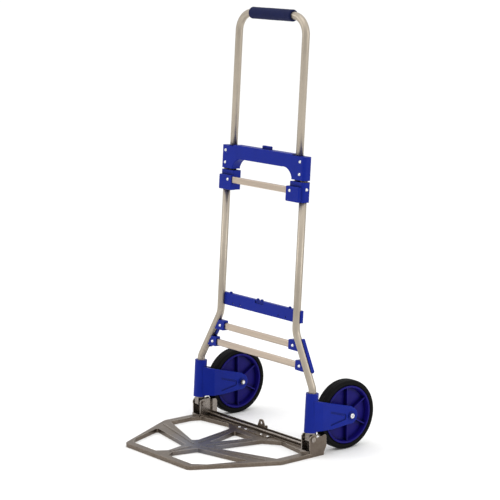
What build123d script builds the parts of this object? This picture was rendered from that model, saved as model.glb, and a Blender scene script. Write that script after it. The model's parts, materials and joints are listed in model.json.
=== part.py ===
"""Folding two-wheel hand truck: leaning tube frame, sliding handle, folding toe plate and swivelling wheels.

Millimetres, +Z up, front of the truck towards -Y, centred on X. Z = 0 is the floor that the tyres and the
toe plate stand on, and Y = 0 is the middle of the overall depth. Most pieces lie in the plane of the two
leaning frame tubes, so they are drawn there: x across, u up along the tubes from the hinge line, n forwards.
"""

from math import atan2, cos, degrees, hypot, radians, sin
import os

from build123d import *

os.makedirs("parts", exist_ok=True)

# ---------------------------------------------------------------- overall sizes
overall_height = 1090.0
toe_width = 480.0
toe_depth = 350.0
lean = 3.6  # degrees that the frame leans back

# ---------------------------------------------------------------- clearances
slip = 0.3  # between pieces that slide or turn past each other
seat = 0.05  # between pieces that are fixed in or on each other
run = 0.06  # radial clearance of a pin or axle in its hole

# ---------------------------------------------------------------- tubes
tube_d = 19.0
tube_wall = 1.5
frame_half = 151.0  # half spacing of the upright frame tubes
foot_half = toe_width / 2 - 15.0  # half spacing of the same tubes at their feet
knee_z = 300.0  # the tubes begin to spread
ankle_z = 170.0  # and are upright again
bend_r = 50.0
ankle_r = 28.0
tube_gap = 2.0  # between a frame tube and the handle tube beside it
grip_d = 30.0
grip_length = 160.0
handle_bend_r = 48.0
bush_height = 7.0
bush_flange_r = tube_d / 2 + 2.4
bush_flange_h = 1.0

# ---------------------------------------------------------------- hinge line, wheels
hinge_z = 45.0
hinge_pin_d = 8.0
toe_tail = 43.5  # ears behind the hinge line
axle_back = 118.0  # axle behind the hinge line
wheel_d = 176.0
tyre_width = 30.0
wheel_x = foot_half - 6.0  # middle of the wheel, a little inboard of its tube
rim_d = 147.0
hub_d = 27.0
axle_d = 8.0
bush_wall = 2.0

# ---------------------------------------------------------------- latch housing
arch_top_z = 735.5  # caps at the ends
beam_top_z = 738.5  # beam between the handle tubes
arch_crown_z = 704.0
arch_leg_z = 677.0
arch_crown_half = 78.0
arch_half = 163.5
arch_front = 13.0
arch_back = 14.0
arch_end_r = 9.0  # rounding of the outer ends
arch_rim_r = 1.5
arch_split = -1.5
arch_wall = 3.0
arch_inner_half = 117.0
arch_rivet_x = 147.0
arch_rivet_z = (722.5, 691.5)
rivet_d = 4.0
rivet_head_d = 8.0
rivet_head_h = 1.6
button_width = 32.0
button_depth = 7.0
button_n = -4.0  # middle of the button, behind the tube plane
button_proud = 8.5
button_travel = 8.0
latch_travel = 6.0
latch_z = 720.5
latch_d = 7.0

# ---------------------------------------------------------------- lower guide blocks, bars
block_top_z = 673.0
block_bottom_z = 623.0
block_inner_half = 114.0
socket_top_z = 661.0
socket_inner_half = 108.0
socket_outer_half = 158.0
socket_front = 21.5
socket_root = 6.0  # socket starts this far inside the block
bar_z = 650.0
bar_height = 17.0
bar_thick = 6.5
bar_back_n = 12.3
bar_wall = 1.3
bar_end_half = 134.0
bar_rivet_x = 123.0
side_rivet_z = 655.0

# ---------------------------------------------------------------- crossbar, side brackets, rungs
crossbar_z = (322.0, 353.5)
crossbar_half = 163.5
crossbar_back = 13.0
crossbar_front = 2.0  # front face, behind the tube plane
crossbar_screw_x = (77.0, 106.0)
rung_z = (218.5, 265.5)
rung_height = 17.5
rung_thick = 8.0
rung_n = -2.0
rung_socket_inner = (160.0, 130.0)
rung_rivet_x = (175.0, 146.0)
rung_grip = 20.0  # length of rung inside each socket
bracket_wall = 2.2
bracket_span_z = (203.0, 281.0)

# ---------------------------------------------------------------- forks
sleeve_d = 32.0
sleeve_z = (62.0, 160.0)
fork_half = 27.0
fork_slot_half = 19.0
fork_top_z = 144.0
fork_bottom_z = 65.0
fork_hub_r = 21.0
fork_throat = 26.5  # from the hinge line to the end of the wheel slot
washer_thick = 1.0

# ---------------------------------------------------------------- toe plate
toe_top_z = 10.8
toe_skin = 2.6
toe_flange = 2.6
toe_front_half = 131.0
toe_corner_ahead = 104.0  # obtuse side corner ahead of the hinge line
toe_ear_half = toe_width / 2 - 2.0
ear_thick = 2.5
ear_top_z = 53.0
hinge_wall_x = foot_half - 17.0
hinge_wall_thick = 3.0
toe_rear_back = 31.0  # rear edge between the ears, behind the hinge line
rail_top_z = 22.0
tie_rod_d = 6.0
lug_top_z = 41.0
lug_hole_d = 7.0

# ---------------------------------------------------------------- derived values and planes
tube_r = tube_d / 2
wheel_r = wheel_d / 2
toe_reach = toe_depth - toe_tail
hinge_y = (toe_reach - axle_back - wheel_r) / 2
cos_lean = cos(radians(lean))
sin_lean = sin(radians(lean))
handle_half = frame_half - tube_d - tube_gap
handle_top_z = overall_height - grip_d / 2


def up(z):
    """Distance along the tubes from the hinge line to height z."""
    return (z - hinge_z) / cos_lean


def world(x, u, n):
    """Point in the part's frame for tube-plane coordinates."""
    return (x, hinge_y + u * sin_lean - n * cos_lean, hinge_z + u * cos_lean + n * sin_lean)


def tube_plane(n=0.0):
    """Plane of the frame tubes, moved n forwards; its local axes are x and u."""
    return Plane(origin=world(0, 0, n), x_dir=(1, 0, 0), z_dir=(0, -cos_lean, sin_lean))


def across_plane(x, u, n):
    """Plane across a bar that runs along X; local x points forwards, local y down the tubes."""
    return Plane(origin=world(x, u, n), x_dir=(0, -cos_lean, sin_lean), z_dir=(1, 0, 0))


def ring_plane(x, u, n=0.0):
    """Plane across a tube; its normal points up the tube."""
    return Plane(origin=world(x, u, n), x_dir=(1, 0, 0), z_dir=(0, sin_lean, cos_lean))


def side_plane(x):
    """Upright plane facing +X; local x is measured back from the hinge line, local y is height."""
    return Plane(origin=(x, hinge_y, 0), x_dir=(0, 1, 0), z_dir=(1, 0, 0))


def axle_plane(x):
    """Plane through the axle, for turned wheel profiles; local x along the axle, local y radial."""
    return Plane(origin=(x, hinge_y + axle_back, wheel_r), x_dir=(1, 0, 0), z_dir=(0, -1, 0))


def save(piece, name):
    """Label a finished piece and write its STEP file."""
    piece.part.label = name
    export_step(piece.part, f"parts/{name}.step")


def save_pair(piece, name):
    """Write a right-hand piece and its mirror image."""
    with BuildPart() as left:
        mirror(piece.part, about=Plane.YZ)
    save(piece, f"{name}_right")
    save(left, f"{name}_left")


# ---------------------------------------------------------------- frame tubes
frame_top_z = arch_top_z - 10.0
frame_foot_z = sleeve_z[0] - slip
screw_r = 1.8

with BuildPart() as frame_tube:
    with BuildLine(tube_plane()) as route:
        FilletPolyline(
            (frame_half, up(frame_top_z)),
            (frame_half, up(knee_z)),
            (foot_half, up(ankle_z)),
            (foot_half, up(frame_foot_z)),
            radius=(bend_r, ankle_r),
        )
    with BuildSketch(ring_plane(frame_half, up(frame_top_z))):
        Circle(tube_r)
        Circle(tube_r - tube_wall, mode=Mode.SUBTRACT)
    sweep(path=route.line)
    with BuildSketch(tube_plane(-tube_d)):  # rivets of the latch housing
        with Locations(*[(arch_rivet_x, up(z)) for z in arch_rivet_z]):
            Circle(rivet_d / 2 + seat)
    extrude(amount=2 * tube_d, mode=Mode.SUBTRACT)
    with BuildSketch(tube_plane(-tube_d)):  # screw of the crossbar, rear wall only
        with Locations((frame_half, up(sum(crossbar_z) / 2))):
            Circle(screw_r + seat)
    extrude(amount=tube_d, mode=Mode.SUBTRACT)
    with BuildSketch(across_plane(frame_half, up(side_rivet_z), 0)):  # rivet of the lower block
        Circle(rivet_d / 2 + seat)
    extrude(amount=tube_d, mode=Mode.SUBTRACT)
save_pair(frame_tube, "frame_tube")

# ---------------------------------------------------------------- sliding handle
handle_foot_z = block_bottom_z + 9.0
plug_flange = 2.0
handle_travel = handle_foot_z - plug_flange - crossbar_z[1] - 4.0

with BuildPart() as handle_tube:
    with BuildLine(tube_plane()) as hoop:
        FilletPolyline(
            (-handle_half, up(handle_foot_z)),
            (-handle_half, up(handle_top_z)),
            (handle_half, up(handle_top_z)),
            (handle_half, up(handle_foot_z)),
            radius=handle_bend_r,
        )
    with BuildSketch(ring_plane(-handle_half, up(handle_foot_z))):
        Circle(tube_r)
        Circle(tube_r - tube_wall, mode=Mode.SUBTRACT)
    sweep(path=hoop.line)
    for height in (up(latch_z), up(latch_z) + handle_travel):  # latch holes, handle out and handle in
        with BuildSketch(across_plane(-handle_half, height, 0)):
            Circle(latch_d / 2 + slip)
        extrude(amount=2 * handle_half, mode=Mode.SUBTRACT)
save(handle_tube, "handle_tube")

with BuildPart() as handle_grip:
    with BuildSketch(across_plane(-grip_length / 2, up(handle_top_z), 0)):
        Circle(grip_d / 2)
        Circle(tube_r + seat, mode=Mode.SUBTRACT)
    extrude(amount=grip_length)
    rims = handle_grip.edges().filter_by(GeomType.CIRCLE).group_by(SortBy.RADIUS)[-1]
    fillet(rims, radius=3.0)
save(handle_grip, "handle_grip")

plug_depth = 14.0
with BuildPart() as handle_end_plugs:
    for side in (-1, 1):
        with BuildSketch(ring_plane(side * handle_half, up(handle_foot_z) - plug_flange)):
            Circle(tube_r - 0.5)
        extrude(amount=plug_flange - seat)
        with BuildSketch(ring_plane(side * handle_half, up(handle_foot_z) - plug_flange / 2)):
            Circle(tube_r - tube_wall - seat)
        extrude(amount=plug_depth)
save(handle_end_plugs, "handle_end_plugs")

# ---------------------------------------------------------------- latch housing (front and back shells)
cavity_half = 112.0


haunch_foot_z = arch_leg_z + 4.0
haunch_bulge = sin(radians(45))
beam_half = handle_half - bush_flange_r - 1.0

with BuildLine() as arch_line:  # seen from the front: a beam between two capped legs, with curved haunches
    Line((-arch_crown_half, up(arch_crown_z)), (arch_crown_half, up(arch_crown_z)))
    Line((-beam_half + 1.5, up(beam_top_z)), (beam_half - 1.5, up(beam_top_z)))
    for side in (-1, 1):
        ThreePointArc(
            (side * arch_crown_half, up(arch_crown_z)),
            (
                side * (arch_crown_half + haunch_bulge * (arch_inner_half - arch_crown_half)),
                up(haunch_foot_z + haunch_bulge * (arch_crown_z - haunch_foot_z)),
            ),
            (side * arch_inner_half, up(haunch_foot_z)),
        )
        Polyline(
            (side * arch_inner_half, up(haunch_foot_z)),
            (side * arch_inner_half, up(arch_leg_z)),
            (side * arch_half, up(arch_leg_z)),
            (side * arch_half, up(arch_top_z)),
            (side * beam_half, up(arch_top_z)),
            (side * (beam_half - 1.5), up(beam_top_z)),
        )


def arch_shell(depth, outward):
    """One moulded half of the latch housing, from the parting plane to its outer face."""
    with BuildPart() as shell:
        with BuildSketch(tube_plane(arch_split)):
            add(arch_line.line)
            make_face()
        extrude(amount=depth * outward)
        with BuildSketch(ring_plane(0, up(arch_leg_z) - 1, (arch_front - arch_back) / 2)):  # rounded ends
            RectangleRounded(2 * arch_half, arch_front + arch_back, arch_end_r)
        extrude(amount=up(beam_top_z) - up(arch_leg_z) + 2, mode=Mode.INTERSECT)
        face = shell.faces().sort_by(Axis.Y)[0 if outward > 0 else -1]
        rim = face.edges().filter_by(lambda e: abs(e.center().X) < arch_inner_half + 8)
        fillet(rim, radius=arch_rim_r)
        beam_top = up(beam_top_z) - arch_wall
        beam_low = up(arch_crown_z) + arch_wall
        with BuildSketch(tube_plane(arch_split)):  # hollow beam that holds the latch
            with Locations((0, (beam_top + beam_low) / 2)):
                Rectangle(2 * cavity_half, beam_top - beam_low)
        extrude(amount=(depth - arch_wall) * outward, mode=Mode.SUBTRACT)
        for side in (-1, 1):
            with BuildSketch(ring_plane(side * frame_half, up(arch_leg_z) - 1)):
                Circle(tube_r + seat)
            extrude(amount=up(frame_top_z) - up(arch_leg_z) + 1 + seat, mode=Mode.SUBTRACT)
            with BuildSketch(ring_plane(side * handle_half, up(arch_leg_z) - 1)):
                Circle(tube_r + slip)
            extrude(amount=up(beam_top_z) - up(arch_leg_z) + 2, mode=Mode.SUBTRACT)
            with BuildSketch(ring_plane(side * handle_half, up(arch_top_z) - bush_height)):
                Circle(bush_flange_r + seat)
            extrude(amount=bush_height + 1, mode=Mode.SUBTRACT)
            with BuildSketch(across_plane(side * (cavity_half - 1), up(latch_z), 0)):
                Circle(latch_d / 2 + slip)
            extrude(amount=side * (handle_half - cavity_half), mode=Mode.SUBTRACT)
        with BuildSketch(ring_plane(0, beam_top - 1, button_n)):
            Rectangle(button_width + 2 * slip, button_depth + 2 * slip)
        extrude(amount=arch_wall + 2, mode=Mode.SUBTRACT)
        rivet_spots = [(side * arch_rivet_x, up(z)) for side in (-1, 1) for z in arch_rivet_z]
        with BuildSketch(tube_plane(-arch_back - 1)):
            with Locations(*rivet_spots):
                Circle(rivet_d / 2 + seat)
        extrude(amount=arch_front + arch_back + 2, mode=Mode.SUBTRACT)
    return shell


arch_housing_front = arch_shell(arch_front - arch_split, 1)
save(arch_housing_front, "arch_housing_front")
arch_housing_back = arch_shell(arch_back + arch_split, -1)
save(arch_housing_back, "arch_housing_back")

with BuildPart() as handle_bushes:
    for side in (-1, 1):
        with BuildSketch(ring_plane(side * handle_half, up(arch_top_z) - bush_height + seat)):
            Circle(bush_flange_r)
            Circle(tube_r + run, mode=Mode.SUBTRACT)
        extrude(amount=bush_height + bush_flange_h)
save(handle_bushes, "handle_bushes")


def through_rivets(spots, n_low, n_high):
    """Rivets along n with a domed head on each face."""
    with BuildSketch(tube_plane(n_low - seat)) as shanks:
        with Locations(*spots):
            Circle(rivet_d / 2)
    extrude(shanks.sketch, amount=n_high - n_low + 2 * seat)
    for n_face, way in ((n_high + seat, 1), (n_low - seat, -1)):
        with BuildSketch(tube_plane(n_face)) as heads:
            with Locations(*spots):
                Circle(rivet_head_d / 2)
        extrude(heads.sketch, amount=way * rivet_head_h, taper=35)


with BuildPart() as housing_rivets:
    through_rivets(
        [(side * arch_rivet_x, up(z)) for side in (-1, 1) for z in arch_rivet_z], -arch_back, arch_front
    )
save(housing_rivets, "housing_rivets")

# ---------------------------------------------------------------- release button, latch pins, spring
cam_thick = 4.0
cam_half = 23.0
cam_top_z = beam_top_z - arch_wall - slip
cam_low_z = cam_top_z - 18.5
button_root = 2.5  # button below the roof of the beam
follower_x = 16.0
follower_r = 2.0
latch_start = 30.0  # inner end of the round pin
tongue_length = 30.0
tongue_height = 6.0
tongue_inward = 5.0  # tongue reaches this far inwards of the follower
notch_half = 5.0
notch_top_z = cam_low_z + 11.0
spring_r = 3.3
spring_wire_r = 0.5
spring_turns = 6

with BuildPart() as release_button:
    with BuildSketch(ring_plane(0, up(cam_top_z) - button_root, button_n)):
        Rectangle(button_width, button_depth)
    extrude(amount=button_root + up(beam_top_z) - up(cam_top_z) + button_proud)
    top = release_button.faces().sort_by(Axis.Z)[-1]
    fillet(top.edges(), radius=2.0)
    with BuildSketch(tube_plane(-cam_thick / 2)):
        with Locations((0, (up(cam_top_z) + up(cam_low_z)) / 2)):
            Rectangle(2 * cam_half, up(cam_top_z) - up(cam_low_z))
        with Locations((0, (up(notch_top_z) + up(cam_low_z)) / 2)):
            Rectangle(2 * notch_half, up(notch_top_z) - up(cam_low_z), mode=Mode.SUBTRACT)
        for side in (-1, 1):
            start = (side * follower_x, up(latch_z))
            end = (side * (follower_x - latch_travel), up(latch_z) + button_travel)
            with Locations(((start[0] + end[0]) / 2, (start[1] + end[1]) / 2)):
                SlotCenterToCenter(
                    (latch_travel**2 + button_travel**2) ** 0.5,
                    2 * (follower_r + slip / 2),
                    rotation=degrees(atan2(end[1] - start[1], end[0] - start[0])),
                    mode=Mode.SUBTRACT,
                )
    extrude(amount=cam_thick)
save(release_button, "release_button")

with BuildPart() as latch_pin:
    with BuildSketch(across_plane(latch_start, up(latch_z), 0)):
        Circle(latch_d / 2)
    extrude(amount=handle_half - tube_r - slip - latch_start)
    chamfer(latch_pin.faces().sort_by(Axis.X)[-1].edges(), length=0.8)
    with BuildSketch(tube_plane(-cam_thick / 2 - slip)):  # tongue behind the cam plate
        with Locations((follower_x - tongue_inward + tongue_length / 2, up(latch_z))):
            RectangleRounded(tongue_length, tongue_height, 1.5)
    extrude(amount=-3.0)
    with BuildSketch(tube_plane(-cam_thick / 2 - slip)):  # follower in the cam slot
        with Locations((follower_x, up(latch_z))):
            Circle(follower_r)
    extrude(amount=cam_thick + 1.0)
save_pair(latch_pin, "latch_pin")

spring_foot = up(arch_crown_z) + arch_wall + slip
spring_height = up(notch_top_z) - spring_foot - 2 * spring_wire_r - slip
with BuildPart() as button_spring:
    with BuildLine(ring_plane(0, spring_foot + spring_wire_r)) as coil:
        Helix(pitch=spring_height / spring_turns, height=spring_height, radius=spring_r)
    with BuildSketch(Plane(origin=coil.line @ 0, z_dir=coil.line % 0)):
        Circle(spring_wire_r)
    sweep(path=coil.line, is_frenet=True)
save(button_spring, "button_spring")

# ---------------------------------------------------------------- lower guide blocks
with BuildPart() as lower_block:
    with BuildSketch(tube_plane(-arch_back)) as outline:
        with BuildLine():
            Polyline(
                (block_inner_half, up(block_bottom_z)),
                (arch_half, up(block_bottom_z)),
                (arch_half, up(block_top_z)),
                (block_inner_half, up(block_top_z)),
                close=True,
            )
        make_face()
        fillet(outline.vertices(), radius=2)
    extrude(amount=arch_back + arch_front)
    with BuildSketch(ring_plane(0, up(block_bottom_z) - 1, (arch_front - arch_back) / 2)):  # rounded end
        RectangleRounded(2 * arch_half, arch_front + arch_back, arch_end_r)
    extrude(amount=up(block_top_z) - up(block_bottom_z) + 2, mode=Mode.INTERSECT)
    with BuildSketch(tube_plane(arch_front - socket_root)) as socket:
        with Locations(
            ((socket_inner_half + socket_outer_half) / 2, (up(block_bottom_z) + up(socket_top_z)) / 2)
        ):
            RectangleRounded(
                socket_outer_half - socket_inner_half, up(socket_top_z) - up(block_bottom_z), 3
            )
    extrude(amount=socket_front - arch_front + socket_root)
    fillet(lower_block.faces().sort_by(Axis.Y)[0].edges(), radius=2)
    with BuildSketch(ring_plane(frame_half, up(block_bottom_z) - 1)):
        Circle(tube_r + seat)
        with Locations((handle_half - frame_half, 0)):
            Circle(tube_r + slip)
    extrude(amount=up(block_top_z) - up(block_bottom_z) + 2, mode=Mode.SUBTRACT)
    with BuildSketch(across_plane(socket_inner_half - 1, up(bar_z), bar_back_n + bar_thick / 2)):
        RectangleRounded(bar_thick + 2 * seat, bar_height + 2 * seat, bar_thick / 2 - 0.2)
    extrude(amount=bar_end_half - socket_inner_half + 1 + seat, mode=Mode.SUBTRACT)
    with BuildSketch(tube_plane(bar_back_n)):  # rivet through the bar
        with Locations((bar_rivet_x, up(bar_z))):
            Circle(rivet_d / 2 + seat)
    extrude(amount=socket_front, mode=Mode.SUBTRACT)
    with BuildSketch(across_plane(frame_half, up(side_rivet_z), 0)):  # rivet into the frame tube
        Circle(rivet_d / 2 + seat)
    extrude(amount=tube_d, mode=Mode.SUBTRACT)
save_pair(lower_block, "lower_block")


def bar_solid(half, u, n, thick, height, grooves):
    """Flat hollow extrusion with rounded edges and fine grooves along its front face."""
    with BuildPart() as bar:
        with BuildSketch(across_plane(-half, u, n)):
            RectangleRounded(thick, height, thick / 2 - 0.2)
            RectangleRounded(thick - 2 * bar_wall, height - 2 * bar_wall, thick / 2 - bar_wall - 0.2,
                             mode=Mode.SUBTRACT)
            with GridLocations(0, height / (grooves + 1), 1, grooves):
                with Locations((thick / 2, 0)):
                    Rectangle(0.8, 1.0, mode=Mode.SUBTRACT)
        extrude(amount=2 * half)
    return bar


upper_flat_bar = bar_solid(
    bar_end_half, up(bar_z), bar_back_n + bar_thick / 2, bar_thick, bar_height, 3
)
with BuildPart() as drilled_bar:
    add(upper_flat_bar.part)
    with BuildSketch(tube_plane(bar_back_n + bar_thick / 2)):
        with Locations((bar_rivet_x, up(bar_z)), (-bar_rivet_x, up(bar_z))):
            Circle(rivet_d / 2 + seat)
    extrude(amount=bar_thick, mode=Mode.SUBTRACT)
save(drilled_bar, "upper_flat_bar")


def blind_rivets(spots, n_face, depth, way=1):
    """Rivets set from one face: domed head on the face and a shank into it."""
    with BuildSketch(tube_plane(n_face)) as shanks:
        with Locations(*spots):
            Circle(rivet_d / 2)
    extrude(shanks.sketch, amount=-way * depth)
    with BuildSketch(tube_plane(n_face + way * seat)) as heads:
        with Locations(*spots):
            Circle(rivet_head_d / 2)
    extrude(heads.sketch, amount=way * rivet_head_h, taper=35)
    with BuildSketch(tube_plane(n_face)) as necks:
        with Locations(*spots):
            Circle(rivet_d / 2)
    extrude(necks.sketch, amount=way * 2 * seat)


with BuildPart() as block_rivets:
    blind_rivets([(side * bar_rivet_x, up(bar_z)) for side in (-1, 1)], socket_front,
                 socket_front - bar_back_n - bar_wall - seat)
    for side in (-1, 1):
        with BuildSketch(across_plane(side * (arch_half + seat), up(side_rivet_z), 0)):
            Circle(rivet_head_d / 2)
        extrude(amount=side * rivet_head_h, taper=35)
        with BuildSketch(across_plane(side * (arch_half + 2 * seat), up(side_rivet_z), 0)):
            Circle(rivet_d / 2)
        extrude(amount=-side * (arch_half - frame_half - tube_r + tube_wall + 1))
save(block_rivets, "block_rivets")

# ---------------------------------------------------------------- middle crossbar behind the tubes
crossbar_mid_z = sum(crossbar_z) / 2
crossbar_tall = up(crossbar_z[1]) - up(crossbar_z[0])
crossbar_face = 3.0
pocket_half = 132.0
pockets = 8
pocket_rib = 4.0

with BuildPart() as mid_crossbar:
    with BuildSketch(tube_plane(-crossbar_back)):
        with Locations((0, up(crossbar_mid_z))):
            RectangleRounded(2 * crossbar_half, crossbar_tall, 4)
    extrude(amount=crossbar_back - crossbar_front)
    with BuildSketch(ring_plane(0, up(crossbar_z[0]) - 1, -(crossbar_back + crossbar_front) / 2)):
        RectangleRounded(2 * crossbar_half, crossbar_back - crossbar_front, 4)  # rounded ends
    extrude(amount=crossbar_tall + 2, mode=Mode.INTERSECT)
    with BuildSketch(tube_plane(-crossbar_back)):  # hollow back, ribs left between the pockets
        with GridLocations(2 * pocket_half / pockets, 0, pockets, 1):
            with Locations((0, up(crossbar_mid_z))):
                Rectangle(2 * pocket_half / pockets - pocket_rib, crossbar_tall - 2 * pocket_rib)
    extrude(amount=crossbar_back - crossbar_front - crossbar_face, mode=Mode.SUBTRACT)
    for side in (-1, 1):
        with BuildSketch(ring_plane(side * frame_half, up(crossbar_z[0]) - 2)):
            Circle(tube_r + seat)
        extrude(amount=crossbar_tall + 4, mode=Mode.SUBTRACT)
    with BuildSketch(tube_plane(-crossbar_back - 1)):
        with Locations(*[(side * x, up(crossbar_z[0]) + 7) for side in (-1, 1) for x in crossbar_screw_x]):
            Circle(2.2)
        with Locations(*[(side * frame_half, up(crossbar_mid_z)) for side in (-1, 1)]):
            Circle(screw_r + seat)
    extrude(amount=crossbar_back, mode=Mode.SUBTRACT)
    with BuildSketch(tube_plane(-crossbar_front - 2.0)):  # shallow recess of the cord catch
        with Locations((0, up(crossbar_z[1]) - 5)):
            RectangleRounded(34, 7, 1.5)
    extrude(amount=3, mode=Mode.SUBTRACT)
    with BuildSketch(tube_plane(-crossbar_front - 5.0)):  # catch hooks on the top edge
        with Locations(*[(x, up(crossbar_z[1]) + 1.5) for x in (-118, -8, 8, 118)]):
            RectangleRounded(7, 6, 1.2)
    extrude(amount=3.5)
save(mid_crossbar, "mid_crossbar")

with BuildPart() as crossbar_screws:
    for side in (-1, 1):
        with BuildSketch(tube_plane(-crossbar_back - seat)):
            with Locations((side * frame_half, up(crossbar_mid_z))):
                Circle(4.0)
        extrude(amount=-2.4)
        with BuildSketch(tube_plane(-crossbar_back - 1)):
            with Locations((side * frame_half, up(crossbar_mid_z))):
                Circle(screw_r)
        extrude(amount=crossbar_back - tube_r + tube_wall + 4)
    heads = crossbar_screws.faces().group_by(Axis.Y)[-1]
    fillet(heads.edges(), radius=0.9)
save(crossbar_screws, "crossbar_screws")

# ---------------------------------------------------------------- side brackets and rungs
slant = degrees(atan2(foot_half - frame_half, up(knee_z) - up(ankle_z)))


def slant_x(z):
    """Half spacing of the slanted tube axis at height z."""
    return frame_half + (foot_half - frame_half) * (knee_z - z) / (knee_z - ankle_z)


bracket_mid_z = sum(bracket_span_z) / 2
bracket_length = (up(bracket_span_z[1]) - up(bracket_span_z[0])) / cos(radians(slant))
saddle_width = tube_d + 2 * bracket_wall
saddle_front = 2.0  # saddle stops this far behind the tube plane
rung_socket_front = 5.0
rung_socket_back = 9.0

with BuildPart() as side_bracket:
    with BuildSketch(tube_plane(-tube_r - bracket_wall)):  # saddle round the back of the tube
        with Locations(Location((slant_x(bracket_mid_z), up(bracket_mid_z)), slant)):
            RectangleRounded(saddle_width, bracket_length, 4)
    extrude(amount=tube_r + bracket_wall - saddle_front)
    for z, inner in zip(rung_z, rung_socket_inner):
        with BuildSketch(tube_plane(-rung_socket_back)):
            with Locations(((inner + slant_x(z)) / 2, up(z) + 1.0)):
                RectangleRounded(slant_x(z) - inner, rung_height + 8.0, 3)
        extrude(amount=rung_socket_back + rung_socket_front)
    tube_line = Plane(
        origin=world(slant_x(bracket_mid_z), up(bracket_mid_z), 0),
        x_dir=(cos(radians(slant)), sin(radians(slant)) * sin_lean, sin(radians(slant)) * cos_lean),
        z_dir=(-sin(radians(slant)), cos(radians(slant)) * sin_lean, cos(radians(slant)) * cos_lean),
    )
    with BuildSketch(tube_line):
        Circle(tube_r + seat)
    extrude(amount=bracket_length, both=True, mode=Mode.SUBTRACT)
    for z, inner in zip(rung_z, rung_socket_inner):
        with BuildSketch(across_plane(inner - 1, up(z), rung_n)):
            RectangleRounded(rung_thick + 2 * seat, rung_height + 2 * seat, rung_thick / 2 - 0.2)
        extrude(amount=rung_grip + 1 + seat, mode=Mode.SUBTRACT)
    with BuildSketch(tube_plane(-tube_d)):
        with Locations(*[(x, up(z)) for x, z in zip(rung_rivet_x, rung_z)]):
            Circle(rivet_d / 2 + seat)
    extrude(amount=2 * tube_d, mode=Mode.SUBTRACT)
save_pair(side_bracket, "side_bracket")

for name, z, inner, rivet_x in zip(("rung_lower", "rung_upper"), rung_z, rung_socket_inner, rung_rivet_x):
    with BuildPart() as rung:
        add(bar_solid(inner + rung_grip, up(z), rung_n, rung_thick, rung_height, 3).part)
        with BuildSketch(tube_plane(-tube_d)):
            with Locations((rivet_x, up(z)), (-rivet_x, up(z))):
                Circle(rivet_d / 2 + seat)
        extrude(amount=2 * tube_d, mode=Mode.SUBTRACT)
    save(rung, name)

with BuildPart() as rung_rivets:
    spots = [(side * x, up(z)) for side in (-1, 1) for x, z in zip(rung_rivet_x, rung_z)]
    through_rivets(spots, -rung_socket_back, rung_socket_front)
save(rung_rivets, "rung_rivets")

# ---------------------------------------------------------------- wheel forks, swivelling on the tubes
sleeve_r = sleeve_d / 2
sleeve_low = up(sleeve_z[0])
sleeve_high = up(sleeve_z[1])
boss_r = 10.0
boss_h = 1.4
recess_depth = 1.6

with BuildPart() as wheel_fork:
    with BuildSketch(side_plane(wheel_x - fork_half)):  # side view of the arms
        with BuildLine():
            Polyline(
                (0, fork_bottom_z),
                (axle_back - 60, fork_bottom_z - 2),
                (axle_back + 4, wheel_r - fork_hub_r + 1),
                (axle_back + 4, wheel_r + fork_hub_r + 2),
                (0, fork_top_z),
                close=True,
            )
        make_face()
        with Locations((axle_back, wheel_r)):
            Circle(fork_hub_r)
    extrude(amount=2 * fork_half)
    root_back = fork_throat - 2.0
    with BuildSketch(Plane.XY) as plan:  # plan view: narrow at the sleeve, wide at the arms
        with BuildLine():
            Polyline(
                (foot_half - sleeve_r, hinge_y),
                (wheel_x - fork_half, hinge_y + root_back),
                (wheel_x - fork_half, hinge_y + axle_back + 2 * fork_hub_r),
                (wheel_x + fork_half, hinge_y + axle_back + 2 * fork_hub_r),
                (wheel_x + fork_half, hinge_y + root_back),
                (foot_half + sleeve_r, hinge_y),
                close=True,
            )
        make_face()
        fillet(plan.vertices().group_by(Axis.Y)[1], radius=10)
    extrude(amount=overall_height, mode=Mode.INTERSECT)
    fillet(wheel_fork.faces().filter_by(Plane.YZ).edges(), radius=2.0)
    with BuildSketch(Plane.XY) as slot:  # space for the wheel
        with Locations((wheel_x, hinge_y + fork_throat + axle_back)):
            RectangleRounded(2 * fork_slot_half, 2 * axle_back, 8)
    extrude(amount=overall_height, mode=Mode.SUBTRACT)
    for side in (-1, 1):
        face_x = wheel_x + side * fork_half
        with BuildSketch(side_plane(face_x)) as pocket:  # long recess that points at the hub
            with BuildLine():
                Polyline(
                    (axle_back - 68, wheel_r + 22),
                    (axle_back - 17, wheel_r + 7),
                    (axle_back - 17, wheel_r - 7),
                    (axle_back - 68, wheel_r - 15),
                    close=True,
                )
            make_face()
            fillet(pocket.vertices().sort_by(Axis.X)[-2:], radius=6)
        extrude(amount=-side * recess_depth, mode=Mode.SUBTRACT)
        with BuildSketch(side_plane(face_x)) as rib:  # rib left standing inside the recess
            with BuildLine():
                Polyline(
                    (axle_back - 68, wheel_r + 17),
                    (axle_back - 23, wheel_r + 3.5),
                    (axle_back - 23, wheel_r - 3.5),
                    (axle_back - 68, wheel_r - 10),
                    close=True,
                )
            make_face()
            fillet(rib.vertices().sort_by(Axis.X)[-2:], radius=3)
        extrude(amount=-side * recess_depth)
        with BuildSketch(side_plane(face_x)):
            with Locations((axle_back, wheel_r)):
                Circle(boss_r)
        extrude(amount=side * boss_h)
    with BuildSketch(ring_plane(foot_half, sleeve_low)):
        Circle(sleeve_r)
    extrude(amount=sleeve_high - sleeve_low)
    with BuildSketch(ring_plane(foot_half, sleeve_low - 5)):
        Circle(tube_r + slip)
    extrude(amount=sleeve_high - sleeve_low + 10, mode=Mode.SUBTRACT)
    with BuildSketch(side_plane(0)):
        with Locations((axle_back, wheel_r)):
            Circle(axle_d / 2 + seat)
    extrude(amount=2 * wheel_x, mode=Mode.SUBTRACT)
save_pair(wheel_fork, "wheel_fork")

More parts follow.
